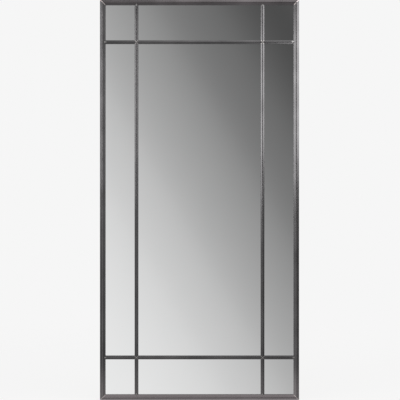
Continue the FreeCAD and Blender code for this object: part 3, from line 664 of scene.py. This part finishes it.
nap = add_node(fibreboard, "ShaderNodeBump", {
    "Strength": 0.15, "Distance": 0.0003, "Height": fibres.outputs["Fac"],
})
fill(fibreboard, shader, {
    "Base Color": barked.outputs[MIXED], "Roughness": matt.outputs[0], "Normal": nap.outputs[0],
})
dress("back_panel", fibreboard)

# The turn buttons: ten stamped steel tongues, each swinging on its own screw in the frame's leg,
# with the tip over the board's edge. Blanked from strip, tumbled and zinc plated.
BUTTON_THICKNESS, BUTTON_REACH, BUTTON_TUMBLED = 0.0012, 0.0205, 0.00025
BUTTON_PIVOT_RADIUS, BUTTON_TIP_RADIUS = 0.0055, 0.0035
STILE_BUTTON_INSET, RAIL_BUTTON_X = 0.250, 0.225
LEG_MIDDLE = (FRAME_LEG + FRAME_WALL) / 2
STILE_X = WIDTH / 2 - LEG_MIDDLE
FACING_BACK = (-math.pi / 2, 0, 0)
bpy.ops.object.select_all(action="DESELECT")
bpy.ops.mesh.primitive_cylinder_add(
    vertices=48, radius=BUTTON_PIVOT_RADIUS, depth=BUTTON_THICKNESS,
    location=(0, BUTTON_THICKNESS / 2, 0), rotation=FACING_BACK,
)
button = bpy.context.object
bpy.ops.object.transform_apply(location=True, rotation=True, scale=True)
bpy.ops.object.mode_set(mode="EDIT")
bpy.ops.mesh.primitive_cylinder_add(
    vertices=48, radius=BUTTON_TIP_RADIUS, depth=BUTTON_THICKNESS,
    location=(BUTTON_REACH - BUTTON_TIP_RADIUS, BUTTON_THICKNESS / 2, 0), rotation=FACING_BACK,
)
bpy.ops.mesh.select_all(action="SELECT")
bpy.ops.mesh.convex_hull()
bpy.ops.mesh.dissolve_limited(angle_limit=math.radians(1))
select_in(button, "EDGE", lambda e: near(e.verts[0].co.y, e.verts[1].co.y))
bpy.ops.mesh.bevel(offset=BUTTON_TUMBLED, segments=2, affect="EDGES")
close_edit(button)

# Bright zinc plating: a cool silver with a soft satin gleam and a faint straw cast in places.
# Its crystals are drawn coarse, at 1.5 mm, to show.
STRAW_SIZE, CRYSTAL_SIZE = 0.012, 0.0015
zinc_plate, shader, place = new_finish("zinc_plated_steel", {"Metallic": 1.0})
straw = add_node(zinc_plate, "ShaderNodeTexNoise", {
    "Vector": place, "Scale": 1 / STRAW_SIZE, "Detail": 3.0,
})
crystals = add_node(zinc_plate, "ShaderNodeTexNoise", {
    "Vector": place, "Scale": 1 / CRYSTAL_SIZE, "Detail": 2.0,
})
silver = add_node(zinc_plate, "ShaderNodeMix", {
    SHARE: straw.outputs["Fac"], FIRST: linear("#b4b8bc"), SECOND: linear("#c9c5b6"),
}, data_type="RGBA")
satin = add_node(zinc_plate, "ShaderNodeMapRange", {
    "Value": crystals.outputs["Fac"], "To Min": 0.22, "To Max": 0.42,
})
fill(zinc_plate, shader, {"Base Color": silver.outputs[MIXED], "Roughness": satin.outputs[0]})
button.data.materials.append(zinc_plate)

stile_buttons = (
    ("lower", STILE_BUTTON_INSET), ("middle", HEIGHT / 2), ("upper", HEIGHT - STILE_BUTTON_INSET),
)
rail_buttons = (
    ("bottom", LEG_MIDDLE, -math.pi / 2), ("top", HEIGHT - LEG_MIDDLE, math.pi / 2),
)
button_places = {}
for hand, sign, turn in (("left", -1, 0), ("right", 1, math.pi)):
    for where, height in stile_buttons:
        button_places[f"turn_button_{hand}_{where}"] = (sign * STILE_X, height, turn)
for end, height, turn in rail_buttons:
    for hand, sign in (("left", -1), ("right", 1)):
        button_places[f"turn_button_{end}_{hand}"] = (sign * RAIL_BUTTON_X, height, turn)
for node, (x, z, turn) in button_places.items():
    turned = Matrix.Translation((x, LEG_REAR, z)) @ Matrix.Rotation(turn, 4, "Y")
    tongue = copy_to(button, f"{node}_tongue", turned)
    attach(tongue, node)
    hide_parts(node)
bpy.data.objects.remove(button)

# The D-ring hangers: a strap folded double round the flat side of a bent wire ring, so that the
# ring swings. Stamped and bent from zinc-plated steel, each with two screws into the leg.
for hand in ("left", "right"):
    for node in (f"hanger_strap_{hand}", f"hanger_ring_{hand}"):
        dress(node, zinc_plate)

# The wall bumpers: four moulded rubber buttons that keep the frame off the wall, slightly
# tapered, with a soft rim and a hollow for the head of the screw that holds each to the leg.
BUMPER_BASE, BUMPER_FACE, BUMPER_SINK, BUMPER_RIM = 0.007, 0.006, 0.0037, 0.0007
BUMPER_HEIGHT, BUMPER_FLOOR = 0.010, 0.003
BUMPER_INSET = 0.110
bpy.ops.object.select_all(action="DESELECT")
bpy.ops.mesh.primitive_cone_add(
    vertices=64, radius1=BUMPER_BASE, radius2=BUMPER_FACE, depth=BUMPER_HEIGHT,
    location=(0, BUMPER_HEIGHT / 2, 0), rotation=FACING_BACK,
)
bumper = bpy.context.object
bpy.ops.object.transform_apply(location=True, rotation=True, scale=True)
bpy.ops.object.mode_set(mode="EDIT")
select_in(bumper, "FACE", lambda f: f.normal.y > SQUARE_ON)
bpy.ops.mesh.inset(thickness=BUMPER_FACE - BUMPER_SINK)
bpy.ops.mesh.extrude_region_move(
    TRANSFORM_OT_translate={"value": (0, BUMPER_FLOOR - BUMPER_HEIGHT, 0)},
)
select_in(bumper, "EDGE", lambda e: all(near(v.co.y, BUMPER_HEIGHT) for v in e.verts))
bpy.ops.mesh.bevel(offset=BUMPER_RIM, segments=3, affect="EDGES")
close_edit(bumper, smooth_angle=40)
bumper.data.materials.append(rubber)
bumper_places = {}
for end, height in (("bottom", BUMPER_INSET), ("top", HEIGHT - BUMPER_INSET)):
    for hand, sign in (("left", -1), ("right", 1)):
        bumper_places[f"wall_bumper_{end}_{hand}"] = (sign * STILE_X, height)
for node, (x, z) in bumper_places.items():
    pad = copy_to(bumper, f"{node}_pad", Matrix.Translation((x, LEG_REAR, z)))
    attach(pad, "mirror")
    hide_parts(node)
bpy.data.objects.remove(bumper)

# The screws: pan heads with a cross recess, cold headed from steel wire and zinc plated. They
# hold the keys, the turn buttons, the hangers and the bumpers to the frame's leg.
HEAD_RADIUS, HEAD_HEIGHT, HEAD_ROUNDING = 0.0033, 0.0022, 0.0013
SHANK_RADIUS, SHANK_LENGTH = 0.00175, 0.008
RECESS_LENGTH, RECESS_WIDTH, RECESS_DEPTH = 0.0036, 0.0009, 0.0012
KEY_SCREW_INSET = 0.042
HANGER_INSET, HANGER_DROP, STRAP_THICKNESS = 0.014, 0.400, 0.0024
HANGER_SCREW_DROPS = (0.0255, 0.038)
FIRST_TURN, NEXT_TURN = 0.6, 1.9
bpy.ops.object.select_all(action="DESELECT")
bpy.ops.mesh.primitive_cylinder_add(
    vertices=48, radius=HEAD_RADIUS, depth=HEAD_HEIGHT,
    location=(0, HEAD_HEIGHT / 2, 0), rotation=FACING_BACK,
)
screw = bpy.context.object
bpy.ops.object.transform_apply(location=True, rotation=True, scale=True)
bpy.ops.object.mode_set(mode="EDIT")
select_in(screw, "EDGE", lambda e: all(near(v.co.y, HEAD_HEIGHT) for v in e.verts))
bpy.ops.mesh.bevel(offset=HEAD_ROUNDING, segments=5, affect="EDGES")
select_in(screw, "FACE", lambda f: f.normal.y < -SQUARE_ON)
bpy.ops.mesh.inset(thickness=HEAD_RADIUS - SHANK_RADIUS)
bpy.ops.mesh.extrude_region_move(TRANSFORM_OT_translate={"value": (0, -SHANK_LENGTH, 0)})
close_edit(screw, smooth_angle=40)
for length, width in ((RECESS_LENGTH, RECESS_WIDTH), (RECESS_WIDTH, RECESS_LENGTH)):
    blade = start_cube(
        "driver_blade",
        (-length / 2, HEAD_HEIGHT - RECESS_DEPTH, -width / 2),
        (length / 2, HEAD_HEIGHT * 2, width / 2),
    )
    bpy.ops.object.mode_set(mode="OBJECT")
    cut_away(screw, blade)
screw.data.materials.append(zinc_plate)
key_x = WIDTH / 2 - KEY_SCREW_INSET
hanger_x, hanger_z = WIDTH / 2 - HANGER_INSET, HEIGHT - HANGER_DROP
screw_places = {
    "corner_key_screws": [
        (sign * x, LEG_REAR, z)
        for sign in (-1, 1)
        for x, z in (
            (STILE_X, KEY_SCREW_INSET), (STILE_X, HEIGHT - KEY_SCREW_INSET),
            (key_x, LEG_MIDDLE), (key_x, HEIGHT - LEG_MIDDLE),
        )
    ],
    "turn_button_screws": [
        (x, LEG_REAR + BUTTON_THICKNESS, z) for x, z, _ in button_places.values()
    ],
    "hanger_screws": [
        (sign * hanger_x, LEG_REAR + STRAP_THICKNESS, hanger_z - drop)
        for sign in (-1, 1) for drop in HANGER_SCREW_DROPS
    ],
    "bumper_screws": [(x, LEG_REAR + BUMPER_FLOOR, z) for x, z in bumper_places.values()],
}
# Each screw is driven home to an angle of its own.
for node, points in screw_places.items():
    bpy.ops.object.select_all(action="DESELECT")
    for number, point in enumerate(points):
        driven = Matrix.Rotation(FIRST_TURN + NEXT_TURN * number, 4, "Y")
        fixing = copy_to(screw, f"{node}_set", Matrix.Translation(point) @ driven)
        fixing.select_set(True)
    bpy.context.view_layer.objects.active = fixing
    bpy.ops.object.join()
    fixing.name = f"{node}_set"
    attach(fixing, "mirror")
    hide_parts(node)
bpy.data.objects.remove(screw)

# The studio floor: a round sheet of pale matt paper that the mirror stands on. It fades out all
# round, so that it ends in the background without an edge.
FLOOR_RADIUS, FADE_START, FADE_END = 3.2, 1.2, 0.97
PAPER_GLOW = 0.88
bpy.ops.object.select_all(action="DESELECT")
bpy.ops.mesh.primitive_circle_add(vertices=96, radius=FLOOR_RADIUS, fill_type="NGON")
floor = bpy.context.object
floor.name = "studio_floor"
floor.visible_glossy = False

# Matt pale paper: plain, with the object's soft shadow on it. To the camera, most of it glows
# evenly as the background does, and the rest takes the shadow.
paper = bpy.data.materials.new("pale_paper")
paper.use_nodes = True
paper.node_tree.nodes.clear()
place = add_node(paper, "ShaderNodeTexCoord").outputs["Object"]
from_middle = add_node(paper, "ShaderNodeVectorMath", {0: place}, operation="LENGTH")
fade = add_node(paper, "ShaderNodeMapRange", {
    "Value": from_middle.outputs["Value"],
    "From Min": FADE_START, "From Max": FLOOR_RADIUS * FADE_END,
}, interpolation_type="SMOOTHSTEP")
rays = add_node(paper, "ShaderNodeLightPath")
lift = add_node(paper, "ShaderNodeMath", {
    0: rays.outputs["Is Camera Ray"], 1: PAPER_GLOW,
}, operation="MULTIPLY")
shaded = add_node(paper, "ShaderNodeBsdfDiffuse", {"Color": linear("#efefef")})
bright = add_node(paper, "ShaderNodeEmission", {"Color": linear("#f6f6f6"), "Strength": 1.0})
sheet = add_node(paper, "ShaderNodeMixShader", {
    0: lift.outputs[0], 1: shaded.outputs[0], 2: bright.outputs[0],
})
gone = add_node(paper, "ShaderNodeBsdfTransparent")
blend = add_node(paper, "ShaderNodeMixShader", {
    0: fade.outputs[0], 1: sheet.outputs[0], 2: gone.outputs[0],
})
add_node(paper, "ShaderNodeOutputMaterial", {"Surface": blend.outputs[0]})
floor.data.materials.append(paper)

# The card: a large graded screen that stands in front of the mirror and is seen only as a
# reflection. It is bright at the lower left and falls to dark grey at the upper right.
CARD_AWAY, CARD_MIDDLE, CARD_SIZE = 5.0, -5.2, (60, 19.6, 1)
CARD_REACH, SLOPE_X, SLOPE_Z = 8.0, -0.8645, -0.5026
DIMMED_AT, FULL_AT = -7.0, -3.0
EYE_LEVEL = HEIGHT / 2
CARD_ENDS = (0.30, 0.52)
CARD_GREYS = (
    (-7.2, 0.36), (-6.5, 0.75), (-5.9, 1.0), (-5.2, 0.64), (-4.5, 0.6), (-3.2, 0.25),
    (-1.75, 0.088), (-1.15, 0.143), (-0.55, 0.272), (0.19, 0.502), (0.78, 0.71),
    (1.7, 0.885), (2.1, 0.87), (2.9, 0.6), (4.6, 0.9), (6.4, 0.78),
)
bpy.ops.object.select_all(action="DESELECT")
bpy.ops.mesh.primitive_plane_add(
    size=1, location=(0, -CARD_AWAY, CARD_MIDDLE), rotation=(math.pi / 2, 0, 0),
)
card = bpy.context.object
card.name = "graded_card"
card.scale = CARD_SIZE
bpy.ops.object.transform_apply(location=True, rotation=True, scale=True)
card.visible_camera = False
card.visible_diffuse = False
card.visible_shadow = False

# A lit screen: gives the glass its slanting grey and the metal its gleams. Each grey is placed by
# its distance from eye level, in metres along the slope, and the lowest part is dimmed.
graded = bpy.data.materials.new("graded_screen")
graded.use_nodes = True
graded.node_tree.nodes.clear()
place = add_node(graded, "ShaderNodeTexCoord").outputs["Object"]
slope = add_node(graded, "ShaderNodeVectorMath", {
    0: place, 1: (SLOPE_X, 0.0, SLOPE_Z),
}, operation="DOT_PRODUCT")
along = add_node(graded, "ShaderNodeMapRange", {
    "Value": slope.outputs["Value"],
    "From Min": -CARD_REACH + EYE_LEVEL * SLOPE_Z, "From Max": CARD_REACH + EYE_LEVEL * SLOPE_Z,
})
ramp = add_node(graded, "ShaderNodeValToRGB", {0: along.outputs[0]})
stops = ramp.color_ramp.elements
for number, grey in enumerate(CARD_ENDS):
    stops[number].position, stops[number].color = number, (grey, grey, grey, 1)
for reach, grey in CARD_GREYS:
    stop = stops.new((reach + CARD_REACH) / (2 * CARD_REACH))
    stop.color = (grey, grey, grey, 1)
ramp.color_ramp.interpolation = "CARDINAL"
rise = add_node(graded, "ShaderNodeSeparateXYZ", {0: place}).outputs["Z"]
dimmed = add_node(graded, "ShaderNodeMapRange", {
    "Value": rise, "From Min": DIMMED_AT, "From Max": FULL_AT, "To Min": 0.6, "To Max": 1.0,
}, interpolation_type="SMOOTHSTEP")
glow = add_node(graded, "ShaderNodeEmission", {
    "Color": ramp.outputs[0], "Strength": dimmed.outputs[0],
})
add_node(graded, "ShaderNodeOutputMaterial", {"Surface": glow.outputs[0]})
card.data.materials.append(graded)

# The lamps: a softbox at each side for the slopes of the bars, one overhead and one behind, all
# kept off the glass. A small one, low down on the right, reaches only the upper bar and its solder.
lamp_lit = bpy.data.collections.new("lamp_lit")
for piece in bpy.context.scene.objects:
    if piece.type == "MESH" and piece != frame["nodes"]["mirror_glass"]:
        lamp_lit.objects.link(piece)
upper_bar_lit = bpy.data.collections.new("upper_bar_lit")
for piece in (bars["muntin_upper_bar"], solder_dabs):
    upper_bar_lit.objects.link(piece)


def softbox(name, receivers, place, aim, size, radiance):
    """A rectangular lamp with a given brightness of its face, turned to a point."""
    lamp = bpy.data.lights.new(name, "AREA")
    lamp.shape = "RECTANGLE"
    lamp.size, lamp.size_y = size
    lamp.energy = radiance * math.pi * size[0] * size[1]
    stand = bpy.data.objects.new(name, lamp)
    stand.visible_camera = False
    stand.light_linking.receiver_collection = receivers
    bpy.context.collection.objects.link(stand)
    turned = (Vector(place) - Vector(aim)).to_track_quat("Z", "Y").to_matrix().to_4x4()
    stand.matrix_world = Matrix.Translation(place) @ turned


softbox(
    "softbox_left", lamp_lit,
    place=(-2.56, -1.80, 1.70), aim=(0, 0, 1.70), size=(1.2, 1.35), radiance=3.8,
)
softbox(
    "softbox_right", lamp_lit,
    place=(2.56, -1.10, 1.80), aim=(0, 0, 1.80), size=(1.0, 1.3), radiance=4.0,
)
softbox(
    "softbox_top", lamp_lit,
    place=(0.25, -0.62, 3.5), aim=(0.25, 0, 1.75), size=(0.95, 0.7), radiance=0.85,
)
softbox(
    "softbox_rear", lamp_lit,
    place=(0.9, 3.0, 2.6), aim=(0, 0, 0.9), size=(2.0, 2.0), radiance=1.6,
)
softbox(
    "softbox_low", upper_bar_lit,
    place=(0.72, -1.05, 0.29), aim=(0.38, 0, 1.618), size=(0.3, 0.3), radiance=3.6,
)

# The surroundings: a pale even studio all round. What the camera, the metal and the glass see of
# it is a plain pale grey, and its light on the object is a little softer.
world = bpy.data.worlds.new("pale_studio")
bpy.context.scene.world = world
world.use_nodes = True
world.node_tree.nodes.clear()
rays = add_node(world, "ShaderNodeLightPath")
seen = add_node(world, "ShaderNodeMath", {
    0: rays.outputs["Is Camera Ray"], 1: rays.outputs["Is Glossy Ray"],
}, operation="MAXIMUM")
seen = add_node(world, "ShaderNodeMath", {
    0: seen.outputs[0], 1: rays.outputs["Is Transmission Ray"],
}, operation="MAXIMUM")
ambient = add_node(world, "ShaderNodeBackground", {"Color": linear("#ffffff"), "Strength": 0.85})
backdrop = add_node(world, "ShaderNodeBackground", {"Color": linear("#f6f6f6"), "Strength": 1.0})
choice = add_node(world, "ShaderNodeMixShader", {
    0: seen.outputs[0], 1: ambient.outputs[0], 2: backdrop.outputs[0],
})
add_node(world, "ShaderNodeOutputWorld", {"Surface": choice.outputs[0]})

# The camera: square on to the glass at half its height, with a long lens, and so far off that
# the frame fills the picture from top to bottom.
LENS, SENSOR = 85.0, 36.0
PICTURE_FILL, PICTURE_SIDE, PICTURE_DROP = 1.0013, 0.0022, 0.0008
camera_away = HEIGHT / 2 / PICTURE_FILL / (SENSOR / 2 / LENS)
camera = bpy.data.objects.new("camera", bpy.data.cameras.new("camera"))
camera.data.lens = LENS
camera.data.sensor_width = SENSOR
camera.location = (PICTURE_SIDE, FRAME_SHOULDER - camera_away, EYE_LEVEL - PICTURE_DROP)
camera.rotation_euler = (math.pi / 2, 0, 0)
bpy.context.collection.objects.link(camera)
bpy.context.scene.camera = camera
bpy.context.scene.view_settings.view_transform = "Standard"
